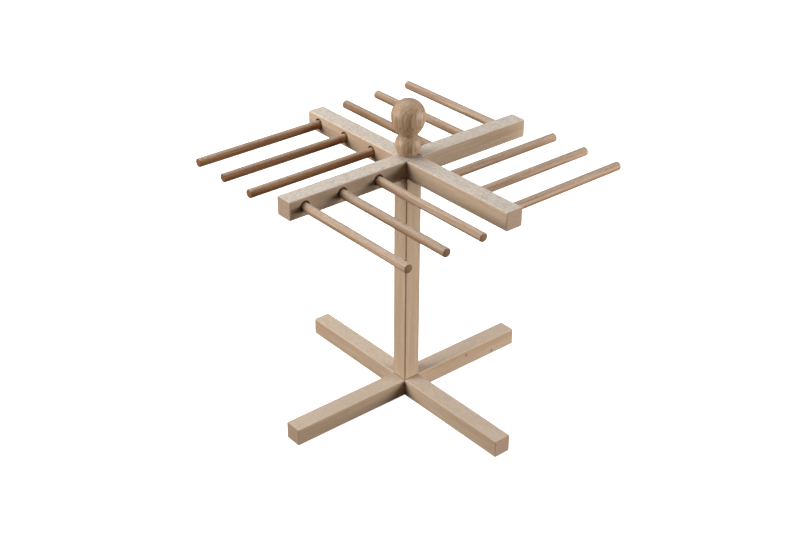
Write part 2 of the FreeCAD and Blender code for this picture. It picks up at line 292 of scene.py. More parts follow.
@dataclass(frozen=True)
class Cut:
    """How a piece was cut from the log: its grain, where its middle lay from the pith, and its own shade,
    which on the planed pieces is partly painted light.
    """

    grain: Grain
    pith: tuple[float, float]
    shade: float
    redness: float
    seed: float


@dataclass(frozen=True)
class MouthShade:
    """Painted shade above the mouths of an arm's dowel holes: where they are, and how far it reaches."""

    along_x: bool
    height: float
    first: float
    pitch: float
    bore: float
    side: float
    reach: float = 0.0021
    lift: float = 0.0013
    core: float = 0.4


@dataclass(frozen=True)
class PinKnot:
    """A pin knot in a face: its place, its radius and its colour."""

    place: tuple[float, float, float]
    radius: float
    colour: Colour


@dataclass(frozen=True)
class Blotches:
    """An uneven pattern: its blotches per metre along and across the grain, and its finer layers."""

    along: float
    across: float
    layers: float = 2.0

    def lay(self, bench: ShaderBench, place: bpy.types.NodeSocket) -> bpy.types.NodeSocket:
        """Return the pattern, from 0 to 1, at a place in the log that has the grain along X."""
        return bench.cloud(place, (self.along, self.across, self.across), self.layers)


@dataclass(frozen=True)
class Figure:
    """What all beech here shares: its patterns, and where in each a change of colour starts and ends."""

    broad: Blotches = Blotches(4.0, 55.0, 3.0)
    streak: Blotches = Blotches(9.0, 330.0, 3.0)
    fibre: Blotches = Blotches(70.0, 1400.0)
    dash: Blotches = Blotches(230.0, 900.0, 1.0)
    warm: Step = (0.36, 0.64)
    late_streak: Step = (0.48, 0.68)
    pale_streak: Step = (0.50, 0.32)
    dark_fleck: Step = (0.53, 0.66)
    pale_fleck: Step = (0.47, 0.34)
    pore: Step = (0.45, 0.70)
    fleck_upward: Step = (0.3, 0.95)
    fleck_on_top: float = 0.8
    fleck_on_sides: float = 0.2
    late_ring: Step = (0.35, 0.95)
    ring_wander: float = 7.0
    end_facing: Step = (0.55, 0.95)
    end_strength: float = 0.9
    end_speckle: Step = (0.4, 0.7)
    end_speckle_strength: float = 0.5
    end_ring: float = 0.55
    # Where the painted edge light starts and ends, and how much the fibre breaks it up.
    edge_light_step: Step = (0.985, 0.90)
    edge_light_break: float = 0.03
    # Where the painted top highlight starts and ends, by how far a face looks up.
    top_highlight_upward: Step = (0.55, 0.98)
    dark_heart: float = 0.4
    seam_reach: Step = (0.0012, 0.0003)
    seam_strength: float = 0.7
    streak_relief: float = 0.8
    refraction: float = 1.36


FIGURE = Figure()


@dataclass(frozen=True)
class Beech:
    """Beech as planed, turned or lacquered: its colours, rings, flecks, painted top highlight and edge light,
    gloss and relief.
    """

    early: Colour
    pale: Colour
    late: Colour
    warm: Colour
    end: Colour
    # Colour and amount of the painted highlight on faces that look up.
    top_highlight: Colour
    top_highlight_amount: float
    # Colour and amount of the painted light on rounded edges: paler for a highlight, darker for shade.
    edge: Colour
    edge_light_amount: float
    ring: float
    ring_depth: float
    streaks: float
    flecks: float
    pores: float
    rough_low: float
    rough_high: float
    coat: float
    coat_rough: float
    relief_depth: float

    def dress(
        self,
        piece: bpy.types.Object,
        cut: Cut,
        mouth_shade: MouthShade | None = None,
        knots: Sequence[PinKnot] = (),
        seams: Sequence[float] = (),
    ) -> None:
        """Give a piece its wood.

        Args:
            piece: the piece.
            cut: how it was cut.
            mouth_shade: where the painted shade at the mouths of its dowel holes lies, on an arm.
            knots: its pin knots.
            seams: heights at which another piece butts against it.
        """
        bench = ShaderBench(f"{piece.name}_wood")
        middle = sum((Vector(corner) for corner in piece.bound_box), Vector()) / len(piece.bound_box)
        place = bench.turned(cut.grain, middle, (cut.seed, *cut.pith))
        broad = FIGURE.broad.lay(bench, place)
        streak = FIGURE.streak.lay(bench, place)
        fibre = FIGURE.fibre.lay(bench, place)
        dash = FIGURE.dash.lay(bench, place)
        ring = self.rings(bench, place, broad)
        colour = bench.mix(bench.ramp(broad, *FIGURE.warm), self.early, self.warm)
        colour = bench.mix(bench.math("MULTIPLY", ring, self.ring_depth), colour, self.late)
        colour = bench.mix(bench.ramp(streak, *FIGURE.late_streak, self.streaks), colour, self.late)
        colour = bench.mix(bench.ramp(streak, *FIGURE.pale_streak, self.streaks), colour, self.pale)
        colour = self.end_grain(bench, cut, colour, ring, fibre)
        tint = (1.0, 1.0 - cut.redness, 1.0 - 2.0 * cut.redness, 1.0)
        # Painted highlight: faces that look up are made paler and greyer.
        colour = self.paint_top_highlight(bench, bench.mix(WHOLE, colour, tint, "MULTIPLY"))
        colour = self.fleck(bench, colour, dash)
        colour = bench.mix(bench.ramp(fibre, *FIGURE.pore, self.pores), colour, self.late)
        # Painted edge light: paler edges as painted highlight, the post's dark edges as painted shade.
        colour = self.paint_edge_light(bench, colour, fibre)
        # Painted shade: dark crescents above the mouths of the dowel holes.
        if mouth_shade:
            colour = self.paint_mouth_shade(bench, mouth_shade, colour)
        for knot in knots:
            away = bench.distance(bench.objects.outputs["Object"], knot.place)
            heart = FIGURE.dark_heart * knot.radius
            colour = bench.mix(bench.ramp(away, knot.radius, heart), colour, knot.colour)
        height = bench.split(bench.objects.outputs["Object"])[2]
        for seam in seams:
            away = bench.math("ABSOLUTE", bench.math("SUBTRACT", height, seam))
            dirt = bench.ramp(away, *FIGURE.seam_reach, FIGURE.seam_strength)
            colour = bench.mix(dirt, colour, SHADE_AND_JOINT_COLOUR)
        # The piece's own shade scales its colour; on the planed pieces it is partly painted light.
        light = 1.0 + cut.shade
        spread = bench.math("MULTIPLY", streak, self.rough_high - self.rough_low)
        bench.set_shader(
            Base_Color=bench.mix(WHOLE, colour, (light, light, light, 1.0), "MULTIPLY"),
            Roughness=bench.math("ADD", self.rough_low, spread),
            IOR=FIGURE.refraction,
            Coat_Weight=self.coat,
            Coat_Roughness=self.coat_rough,
        )
        coarse = bench.math("MULTIPLY", streak, FIGURE.streak_relief)
        bench.relief(bench.math("ADD", fibre, coarse), self.relief_depth)
        bench.put_on(piece)

    def fleck(
        self, bench: ShaderBench, colour: bpy.types.NodeSocket, dash: bpy.types.NodeSocket
    ) -> bpy.types.NodeSocket:
        """Add short dark and pale flecks, strongest on faces that look up.

        Args:
            bench: where the nodes go.
            colour: the colour without them.
            dash: the pattern they follow.

        Returns:
            The colour with them.
        """
        upward = bench.split(bench.objects.outputs["Normal"])[2]
        top = bench.ramp(upward, *FIGURE.fleck_upward, FIGURE.fleck_on_top)
        shown = bench.math("ADD", top, FIGURE.fleck_on_sides)
        dark = bench.math("MULTIPLY", bench.ramp(dash, *FIGURE.dark_fleck, self.flecks), shown)
        pale = bench.math("MULTIPLY", bench.ramp(dash, *FIGURE.pale_fleck, self.flecks), shown)
        return bench.mix(pale, bench.mix(dark, colour, self.late), self.pale)

    def rings(
        self, bench: ShaderBench, place: bpy.types.NodeSocket, broad: bpy.types.NodeSocket
    ) -> bpy.types.NodeSocket:
        """Lay growth rings round the pith, which wander, each dark only at its outer side.

        Args:
            bench: where the nodes go.
            place: the place in the log.
            broad: the wood's broad unevenness, which bends the rings.

        Returns:
            The rings, from 0 to 1.
        """
        from_pith = bench.distance(bench.stretch(place, (0.0, 1.0, 1.0)), (0.0, 0.0, 0.0))
        wander = bench.math("MULTIPLY", broad, FIGURE.ring_wander * self.ring)
        years = bench.math("DIVIDE", bench.math("ADD", from_pith, wander), self.ring)
        return bench.ramp(bench.math("FRACT", years), *FIGURE.late_ring)

    def end_grain(
        self,
        bench: ShaderBench,
        cut: Cut,
        colour: bpy.types.NodeSocket,
        ring: bpy.types.NodeSocket,
        fibre: bpy.types.NodeSocket,
    ) -> bpy.types.NodeSocket:
        """Darken and ring the faces where the grain meets a sawn end.

        Args:
            bench: where the nodes go.
            cut: which way the grain runs.
            colour: the colour on the long faces.
            ring: the growth rings.
            fibre: the fine unevenness.

        Returns:
            The colour with its ends.
        """
        facing = bench.split(bench.objects.outputs["Normal"])[list(Grain).index(cut.grain)]
        facing = bench.math("ABSOLUTE", facing)
        across = bench.ramp(facing, *FIGURE.end_facing, FIGURE.end_strength)
        speckle = bench.ramp(fibre, *FIGURE.end_speckle, FIGURE.end_speckle_strength)
        speckled = bench.mix(speckle, self.end, self.late)
        ringed = bench.mix(bench.math("MULTIPLY", ring, FIGURE.end_ring), speckled, self.late)
        return bench.mix(across, colour, ringed)

    def paint_edge_light(
        self, bench: ShaderBench, colour: bpy.types.NodeSocket, fibre: bpy.types.NodeSocket
    ) -> bpy.types.NodeSocket:
        """Paint light and shade on the rounded edges: a paler edge colour is a painted highlight, a darker
        one painted shade.

        Args:
            bench: where the nodes go.
            colour: the colour on the faces.
            fibre: the fine unevenness, which breaks the line up.

        Returns:
            The colour with its edges.
        """
        flatness = bench.math("ABSOLUTE", bench.split(bench.objects.outputs["Normal"])[0])
        for axis in (1, 2):
            facing = bench.math("ABSOLUTE", bench.split(bench.objects.outputs["Normal"])[axis])
            flatness = bench.math("MAXIMUM", flatness, facing)
        uneven = bench.math("MULTIPLY", fibre, FIGURE.edge_light_break)
        on_edge = bench.ramp(bench.math("ADD", flatness, uneven), *FIGURE.edge_light_step)
        return bench.mix(bench.math("MULTIPLY", on_edge, self.edge_light_amount), colour, self.edge)

    def paint_top_highlight(self, bench: ShaderBench, colour: bpy.types.NodeSocket) -> bpy.types.NodeSocket:
        """Paint a highlight on faces that look up, making them paler and greyer as light from above shows
        them.

        Args:
            bench: where the nodes go.
            colour: the colour before the painted highlight.

        Returns:
            The bleached colour.
        """
        upward = bench.split(bench.objects.outputs["Normal"])[2]
        lit = bench.ramp(upward, *FIGURE.top_highlight_upward, self.top_highlight_amount)
        return bench.mix(lit, colour, self.top_highlight)

    def paint_mouth_shade(
        self, bench: ShaderBench, mouth_shade: MouthShade, colour: bpy.types.NodeSocket
    ) -> bpy.types.NodeSocket:
        """Paint shade as a dark brown crescent above the mouth of each dowel hole.

        Args:
            bench: where the nodes go.
            mouth_shade: where the holes are.
            colour: the colour of the face.

        Returns:
            The colour with them.
        """
        east, north, up = bench.split(bench.objects.outputs["Object"])
        reach = bench.math("ABSOLUTE", east if mouth_shade.along_x else north)
        half = 0.5 * mouth_shade.pitch
        along = bench.math("WRAP", bench.math("SUBTRACT", reach, mouth_shade.first), half, -half)
        rise = bench.math("SUBTRACT", up, mouth_shade.height + mouth_shade.lift)
        squares = bench.math("ADD", bench.math("POWER", along, 2.0), bench.math("POWER", rise, 2.0))
        away = bench.math("SQRT", squares)
        near = bench.ramp(away, mouth_shade.bore + mouth_shade.reach, mouth_shade.bore + mouth_shade.core * mouth_shade.reach)
        quadrant = bench.math("MULTIPLY", bench.math("MULTIPLY", east, north), mouth_shade.side)
        drilled = bench.math("GREATER_THAN", quadrant, 0.0)
        outside = bench.math("GREATER_THAN", reach, mouth_shade.first - half)
        among_holes = bench.math("MULTIPLY", drilled, outside)
        return bench.mix(bench.math("MULTIPLY", near, among_holes), colour, SHADE_AND_JOINT_COLOUR)


@dataclass(frozen=True)
class ZincPlatedSteel:
    """Zinc-plated steel with a drawn grain and small dull patches."""

    colour: Colour = (0.56, 0.57, 0.56, 1.0)
    dull: Colour = (0.36, 0.35, 0.33, 1.0)
    rough: float = 0.28
    rough_spread: float = 0.25
    patches: tuple[float, float, float] = (140.0, 140.0, 140.0)
    patch_layers: float = 3.0
    patch_step: Step = (0.45, 0.8)
    drawing: tuple[float, float, float] = (3000.0, 3000.0, 240.0)
    relief_depth: float = 0.00001

    def dress(self, piece: bpy.types.Object) -> None:
        """Give a piece its plating.

        Args:
            piece: the piece.
        """
        bench = ShaderBench(f"{piece.name}_zinc")
        place = bench.objects.outputs["Object"]
        patch = bench.cloud(place, self.patches, self.patch_layers)
        drawn = bench.cloud(place, self.drawing)
        bench.set_shader(
            Base_Color=bench.mix(bench.ramp(patch, *self.patch_step), self.colour, self.dull),
            Roughness=bench.math("ADD", self.rough, bench.math("MULTIPLY", patch, self.rough_spread)),
            Metallic=WHOLE,
        )
        bench.relief(drawn, self.relief_depth)
        bench.put_on(piece)


PLANED_BEECH = Beech(
    early=(0.62, 0.455, 0.315, 1.0), pale=(0.80, 0.680, 0.550, 1.0), late=(0.33, 0.200, 0.115, 1.0),
    warm=(0.56, 0.390, 0.255, 1.0), end=(0.52, 0.370, 0.275, 1.0), top_highlight=(0.64, 0.535, 0.430, 1.0),
    top_highlight_amount=0.80, edge=(0.72, 0.585, 0.450, 1.0), edge_light_amount=0.30, ring=0.0034, ring_depth=0.13, streaks=0.13,
    flecks=0.22, pores=0.22, rough_low=0.62, rough_high=0.78, coat=0.0, coat_rough=0.3, relief_depth=0.00006,
)
# The post's beech: a dark edge colour, painted shade along its rounded edges, and fewer flecks and streaks.
POST_BEECH = replace(PLANED_BEECH, edge=(0.34, 0.215, 0.115, 1.0), edge_light_amount=0.95, flecks=0.10, streaks=0.10)
# The arms' beech: paler flecks, a stronger painted highlight on faces that look up, and paler edges as
# painted highlight.
HIGHLIT_ARM_BEECH = replace(
    PLANED_BEECH, pale=(0.90, 0.830, 0.745, 1.0), top_highlight=(0.76, 0.690, 0.612, 1.0), top_highlight_amount=0.92,
    edge=(0.80, 0.700, 0.590, 1.0), edge_light_amount=0.24, flecks=0.36,
)
TURNED_BEECH = Beech(
    early=(0.58, 0.395, 0.260, 1.0), pale=(0.76, 0.625, 0.490, 1.0), late=(0.23, 0.115, 0.056, 1.0),
    warm=(0.47, 0.290, 0.170, 1.0), end=(0.27, 0.145, 0.078, 1.0), top_highlight=(0.66, 0.545, 0.440, 1.0),
    top_highlight_amount=0.64, edge=(0.42, 0.260, 0.155, 1.0), edge_light_amount=0.0, ring=0.0022, ring_depth=0.26, streaks=0.44,
    flecks=0.26, pores=0.26, rough_low=0.46, rough_high=0.64, coat=0.05, coat_rough=0.40,
    relief_depth=0.00006,
)
LACQUERED_BEECH = Beech(
    early=(0.56, 0.385, 0.240, 1.0), pale=(0.68, 0.520, 0.370, 1.0), late=(0.17, 0.085, 0.038, 1.0),
    warm=(0.48, 0.305, 0.180, 1.0), end=(0.46, 0.300, 0.185, 1.0), top_highlight=(0.58, 0.455, 0.345, 1.0),
    top_highlight_amount=0.45, edge=(0.40, 0.245, 0.140, 1.0), edge_light_amount=0.0, ring=0.0040, ring_depth=0.40, streaks=0.26,
    flecks=0.10, pores=0.22, rough_low=0.42, rough_high=0.54, coat=0.16, coat_rough=0.30,
    relief_depth=0.00003,
)


def start_clean() -> None:
    """Leave edit mode and deselect everything, so that the next operator meets only its own piece."""
    if bpy.context.mode != "OBJECT":
        bpy.ops.object.mode_set(mode="OBJECT")
    bpy.ops.object.select_all(action="DESELECT")


def name_primitive(name: str) -> bpy.types.Object:
    """Name the primitive just added, put its place into its mesh and open it for editing.

    Args:
        name: the piece's name.

    Returns:
        The piece, in edit mode.
    """
    piece = bpy.context.active_object
    piece.name = name
    piece.data.name = name
    bpy.ops.object.transform_apply(location=True, rotation=True, scale=True)
    bpy.ops.object.mode_set(mode="EDIT")
    return piece


def pick(piece: bpy.types.Object, kind: str, wanted: Callable[[bmesh.types.BMesh], list]) -> None:
    """Select only some parts of the piece that is being edited.

    Args:
        piece: the piece.
        kind: VERT, EDGE or FACE.
        wanted: a function that returns the wanted parts.
    """
    bpy.ops.mesh.select_mode(type=kind)
    bpy.ops.mesh.select_all(action="DESELECT")
    mesh = bmesh.from_edit_mesh(piece.data)
    for part in wanted(mesh):
        part.select = True
    mesh.select_flush_mode()
    bmesh.update_edit_mesh(piece.data)


def close_up(piece: bpy.types.Object) -> None:
    """Merge doubled points, turn the faces outwards, leave edit mode and smooth the round faces.

    Args:
        piece: the piece that is being edited.
    """
    bpy.ops.mesh.select_all(action="SELECT")
    bpy.ops.mesh.remove_doubles(threshold=MERGE_DISTANCE)
    bpy.ops.mesh.normals_make_consistent(inside=False)
    bpy.ops.object.mode_set(mode="OBJECT")
    bpy.ops.object.select_all(action="DESELECT")
    piece.select_set(True)
    bpy.context.view_layer.objects.active = piece
    bpy.ops.object.shade_smooth_by_angle(angle=SMOOTH_ANGLE)


def trace_outline(name: str, outline: Sequence[Vector]) -> bpy.types.Object:
    """Draw an open outline: a small plane is merged into its first point, and that is extruded along it.

    Args:
        name: the piece's name.
        outline: the points.

    Returns:
        The piece, in edit mode.
    """
    start_clean()
    bpy.ops.mesh.primitive_plane_add(size=0.001, location=outline[0])
    piece = name_primitive(name)
    bpy.ops.mesh.select_mode(type="VERT")
    bpy.ops.mesh.select_all(action="SELECT")
    bpy.ops.mesh.merge(type="CENTER")
    for before, after in zip(outline, outline[1:]):
        bpy.ops.mesh.extrude_region_move(TRANSFORM_OT_translate={"value": after - before})
    return piece


def arc(centre: Vector, begin: Vector, end: Vector, steps: int) -> list[Vector]:
    """Trace an arc in the XZ plane.

    Args:
        centre: the arc's middle.
        begin: where it starts.
        end: where it ends.
        steps: how many stretches it has.

    Returns:
        Its points, without the first one.
    """
    first = math.atan2(begin.z - centre.z, begin.x - centre.x)
    sweep = math.atan2(end.z - centre.z, end.x - centre.x) - first
    radius = (begin - centre).length
    turns = (first + sweep * step / steps for step in range(1, steps + 1))
    return [centre + radius * Vector((math.cos(turn), 0.0, math.sin(turn))) for turn in turns]


def middle_of(node: str) -> Vector:
    """Return the middle of a node's box."""
    low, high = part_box(node)
    return 0.5 * (low + high)


@dataclass
class Stock:
    """The five planed pieces: two base beams, the post and two arms, and how each was cut."""

    dowel_bore: float = 0.0060

    def build(self) -> list[str]:
        """Dress the planed pieces.

        Returns:
            Their names.
        """
        along_x = self.mouths("right", along_x=True, side=1.0)
        along_y = self.mouths("front", along_x=False, side=-1.0)
        low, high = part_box("post")
        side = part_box("base_beam_front_back")[1].x
        knots = (
            PinKnot((side, 0.1046, 0.0190), 0.0030, (0.40, 0.170, 0.095, 1.0)),
            PinKnot((side, 0.1560, 0.0060), 0.0024, (0.20, 0.095, 0.050, 1.0)),
        )
        # Each piece's shade is partly its tone and partly painted light: the lower pieces are made paler and
        # the arms darker, in place of light bounced up from the floor.
        left_right = Cut(Grain.ALONG_X, (0.052, 0.021), 0.05, -0.004, 0.31)
        front_back = Cut(Grain.ALONG_Y, (-0.034, 0.047), 0.01, 0.006, 1.17)
        upright = Cut(Grain.ALONG_Z, (0.061, -0.040), 0.05, 0.000, 2.43)
        upper_left_right = Cut(Grain.ALONG_X, (0.030, -0.058), -0.04, 0.004, 3.71)
        upper_front_back = Cut(Grain.ALONG_Y, (0.046, 0.033), -0.05, 0.004, 4.89)
        PLANED_BEECH.dress(frame["nodes"]["base_beam_left_right"], left_right)
        PLANED_BEECH.dress(frame["nodes"]["base_beam_front_back"], front_back, knots=knots)
        POST_BEECH.dress(frame["nodes"]["post"], upright, seams=(low.z, high.z))
        HIGHLIT_ARM_BEECH.dress(frame["nodes"]["arm_left_right"], upper_left_right, mouth_shade=along_x)
        HIGHLIT_ARM_BEECH.dress(frame["nodes"]["arm_front_back"], upper_front_back, mouth_shade=along_y)
        return ["base_beam_left_right", "base_beam_front_back", "post", "arm_left_right", "arm_front_back"]

    def mouths(self, arm: str, along_x: bool, side: float) -> MouthShade:
        """Find an arm's dowel holes from its dowels.

        Args:
            arm: the half arm whose dowels are read.
            along_x: whether the arm lies along X.
            side: 1 where the dowels stand out where X times Y is above 0, else -1.

        Returns:
            Where the painted shade at the holes' mouths lies.
        """
        places = [middle_of(f"dowel_{arm}_{place}") for place in ("inner", "middle")]
        inner, middle = (abs(place.x if along_x else place.y) for place in places)
        return MouthShade(along_x, places[0].z, inner, middle - inner, self.dowel_bore, side)


DOWEL_PLACES = ("inner", "middle", "outer")
DOWEL_TONES = {
    "right": ((-0.12, 0.070), (-0.06, 0.050), (-0.12, 0.065)),
    "back": ((-0.24, 0.170), (-0.14, 0.050), (-0.12, 0.025)),
    "left": ((-0.10, 0.270), (-0.18, 0.310), (-0.16, 0.290)),
    "front": ((-0.06, 0.020), (-0.17, 0.035), (-0.05, 0.000)),
}


@dataclass
class Dowels:
    """Twelve turned dowels with flat-rounded, slightly domed ends, three to a half arm."""

    sides: int = 56
    tip_round: float = 0.0011
    tip_steps: int = 6
    crown: float = 0.0002
    crown_inset: float = 0.0012
    crown_steps: int = 2
    lengthwise_cuts: int = 12
    roll_step: float = 1.9
    seeds: tuple[float, float, float] = (5.0, 0.73, 2.9)
    pith_near: float = 0.011
    pith_step: float = 0.004
    pith_fan: float = 0.009
    pith_fan_middle: float = 1.5

    def build(self) -> list[str]:
        """Model the first dowel, copy it to the other places and dress every copy.

        Returns:
            The names of the pieces.
        """
        first = self.model_first("dowel_right_inner")
        start = middle_of("dowel_right_inner")
        names = []
        for turn, (arm, tones) in enumerate(DOWEL_TONES.items()):
            for count, (place, (shade, redness)) in enumerate(zip(DOWEL_PLACES, tones)):
                node = f"dowel_{arm}_{place}"
                copy = first.copy()
                copy.data = first.data.copy()
                copy.name = f"turned_{node}"
                copy.data.name = copy.name
                bpy.context.scene.collection.objects.link(copy)
                swing = Matrix.Rotation(turn * QUARTER_TURN, 4, "Z")
                roll = Matrix.Rotation(self.roll_step * (turn + len(DOWEL_PLACES) * count), 4, "Y")
                there = Matrix.Translation(middle_of(node))
                copy.data.transform(there @ swing @ roll @ Matrix.Translation(-start))
                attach(copy, node)
                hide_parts(node)
                TURNED_BEECH.dress(copy, self.cut_for(turn, count, shade, redness))
                names.append(copy.name)
        bpy.data.objects.remove(first)
        return names

    def cut_for(self, turn: int, count: int, shade: float, redness: float) -> Cut:
        """Choose another part of the log for each dowel, so that no two have the same grain.

        Args:
            turn: which half arm it is on, counted from the right one.
            count: its place there, counted from the inner one.
            shade: how much paler it is than its wood.
            redness: how much redder it is.

        Returns:
            How it was cut.
        """
        grain = Grain.ALONG_X if turn % 2 else Grain.ALONG_Y
        first, per_arm, per_place = self.seeds
        seed = first + per_arm * turn + per_place * count
        pith = (self.pith_near + self.pith_step * count, self.pith_fan * (turn - self.pith_fan_middle))
        return Cut(grain, pith, shade, redness, seed)

    def model_first(self, node: str) -> bpy.types.Object:
        """Model one dowel where its node lies.

        Args:
            node: a node whose dowel lies along Y.

        Returns:
            The dowel, which rides on nothing yet.
        """
        low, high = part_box(node)
        start_clean()
        bpy.ops.mesh.primitive_cylinder_add(
            vertices=self.sides,
            radius=0.5 * (high.x - low.x),
            depth=high.y - low.y - 2.0 * self.crown,
            end_fill_type="NGON",
            location=middle_of(node),
            rotation=(QUARTER_TURN, 0.0, 0.0),
        )
        piece = name_primitive("dowel_pattern")
        near, far = low.y + self.crown, high.y - self.crown
        for end in (near, far):
            pick(piece, "EDGE", lambda mesh: [
                edge for edge in mesh.edges
                if all(abs(point.co.y - end) < MERGE_DISTANCE for point in edge.verts)
            ])
            bpy.ops.mesh.bevel(offset=self.tip_round, segments=self.tip_steps, affect="EDGES")
        for end, outwards in ((near, -1.0), (far, 1.0)):
            pick(piece, "FACE", lambda mesh: [
                face for face in mesh.faces if abs(face.calc_center_median().y - end) < MERGE_DISTANCE
            ])
            for _ in range(self.crown_steps):
                bpy.ops.mesh.inset(thickness=self.crown_inset)
                rise = outwards * self.crown / self.crown_steps
                bpy.ops.transform.translate(value=(0.0, rise, 0.0))
        for cut in range(1, self.lengthwise_cuts):
            bpy.ops.mesh.select_all(action="SELECT")
            height = low.y + (high.y - low.y) * cut / self.lengthwise_cuts
            bpy.ops.mesh.bisect(plane_co=(0.0, height, 0.0), plane_no=(0.0, 1.0, 0.0))
        close_up(piece)
        return piece


@dataclass
class KnobAndStud:
    """The lathe-turned knob with its bored foot, and the threaded stud that is fixed in it."""

    foot_radius: float = 0.0080
    bulb_radius: float = 0.0175
    bulb_height: float = 0.0158
    crease_radius: float = 0.0106
    ball_height: float = 0.0560
    bore_radius: float = 0.00405
    bore_depth: float = 0.0280
    arc_steps: int = 26
    lathe_steps: int = 112
    thread_pitch: float = 0.00125
    thread_depth: float = 0.00072
    thread_steps: int = 28
    thread_taper: float = 0.0008
    run_in: float = 2.37
    spare_turns: int = 4

    def build(self) -> list[str]:
        """Turn the knob and cut the stud.

        Returns:
            The names of the pieces.
        """
        knob = self.turn_knob()
        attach(knob, "knob")
        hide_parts("knob")
        LACQUERED_BEECH.dress(knob, Cut(Grain.ALONG_Z, (0.018, -0.006), 0.0, 0.0, 7.9))
        stud = self.cut_stud()
        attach(stud, "stud")
        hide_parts("knob_stud")
        ZincPlatedSteel().dress(stud)
        for node in ("post_insert", "base_screw"):
            ZincPlatedSteel().dress(frame["nodes"][node])
        return [knob.name, stud.name, "post_insert", "base_screw"]

    def turn_knob(self) -> bpy.types.Object:
        """Spin the knob's outline about the upright axis.

        Returns:
            The knob.
        """
        low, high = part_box("knob")
        base = low.z
        ball_radius = 0.5 * (high.x - low.x)
        bulb = Vector((0.0, 0.0, base + self.bulb_height))
        ball = Vector((0.0, 0.0, base + self.ball_height))
        foot_rise = math.sqrt(self.bulb_radius**2 - self.foot_radius**2)
        crease_rise = math.sqrt(self.bulb_radius**2 - self.crease_radius**2)
        foot_top = Vector((self.foot_radius, 0.0, bulb.z - foot_rise))
        crease = Vector((self.crease_radius, 0.0, bulb.z + crease_rise))
        side = Vector((ball_radius, 0.0, ball.z))
        step_in = ball_radius - self.crease_radius
        pear_radius = (step_in**2 + (ball.z - crease.z) ** 2) / (2.0 * step_in)
        pear = Vector((ball_radius - pear_radius, 0.0, ball.z))
        outline = [
            Vector((0.0, 0.0, base + self.bore_depth)),
            Vector((self.bore_radius, 0.0, base + self.bore_depth)),
            Vector((self.bore_radius, 0.0, base)),
            Vector((self.foot_radius, 0.0, base)),
            foot_top,
        ]
        outline += arc(bulb, foot_top, crease, self.arc_steps)
        outline += arc(pear, crease, side, self.arc_steps)
        outline += arc(ball, side, Vector((0.0, 0.0, high.z)), self.arc_steps)
        piece = trace_outline("turned_knob", outline)
        bpy.ops.mesh.select_all(action="SELECT")
        bpy.ops.mesh.spin(
            steps=self.lathe_steps, angle=FULL_TURN, center=(0.0, 0.0, 0.0), axis=(0.0, 0.0, 1.0)
        )
        close_up(piece)
        return piece

    def cut_stud(self) -> bpy.types.Object:
        """Wind one thread's outline into a screw, cut it to length and taper both ends.

        Returns:
            The stud.
        """
        low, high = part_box("knob_stud")
        crest = 0.5 * (high.x - low.x)
        root = crest - self.thread_depth
        start = low.z - self.run_in * self.thread_pitch
        corners = ((root, 0.00), (root, 0.12), (crest, 0.44), (crest, 0.56), (root, 0.88), (root, 1.00))
        outline = [Vector((radius, 0.0, start + share * self.thread_pitch)) for radius, share in corners]
        piece = trace_outline("threaded_stud", outline)
        bpy.ops.object.mode_set(mode="OBJECT")
        screw = piece.modifiers.new("thread", "SCREW")
        screw.axis = "Z"
        screw.screw_offset = self.thread_pitch
        screw.iterations = math.ceil((high.z - low.z) / self.thread_pitch) + self.spare_turns
        screw.steps = self.thread_steps
        screw.render_steps = self.thread_steps
        screw.use_merge_vertices = True
        screw.merge_threshold = MERGE_DISTANCE
        bpy.ops.object.modifier_apply(modifier=screw.name)
        bpy.ops.object.mode_set(mode="EDIT")
        bpy.ops.mesh.select_all(action="SELECT")
        bpy.ops.mesh.remove_doubles(threshold=MERGE_DISTANCE)
        narrowed = 1.0 - self.thread_taper / crest
        for end, outwards in ((low.z, -1.0), (high.z, 1.0)):
            bpy.ops.mesh.select_all(action="SELECT")
            bpy.ops.mesh.bisect(
                plane_co=(0.0, 0.0, end),
                plane_no=(0.0, 0.0, outwards),
                use_fill=True,
                clear_outer=True,
                threshold=MERGE_DISTANCE,
            )
            pick(piece, "VERT", lambda mesh: [
                point for point in mesh.verts if abs(point.co.z - end) < MERGE_DISTANCE
            ])
            bpy.ops.transform.resize(value=(narrowed, narrowed, 1.0), center_override=(0.0, 0.0, end))
        close_up(piece)
        return piece


@dataclass(frozen=True)
class Softbox:
    """A square softbox: its middle along the camera's own sideways, up and behind, its side and its watts."""

    name: str
    sideways: float
    up: float
    behind: float
    size: float
    power: float


SOFTBOXES = (
    Softbox("left_softbox", -1.70, 0.90, -0.42, 1.1, 35.0),
    Softbox("right_softbox", 1.74, 0.50, -0.26, 1.1, 34.0),
    Softbox("top_softbox", -0.30, 1.50, 0.30, 1.0, 8.9),
)


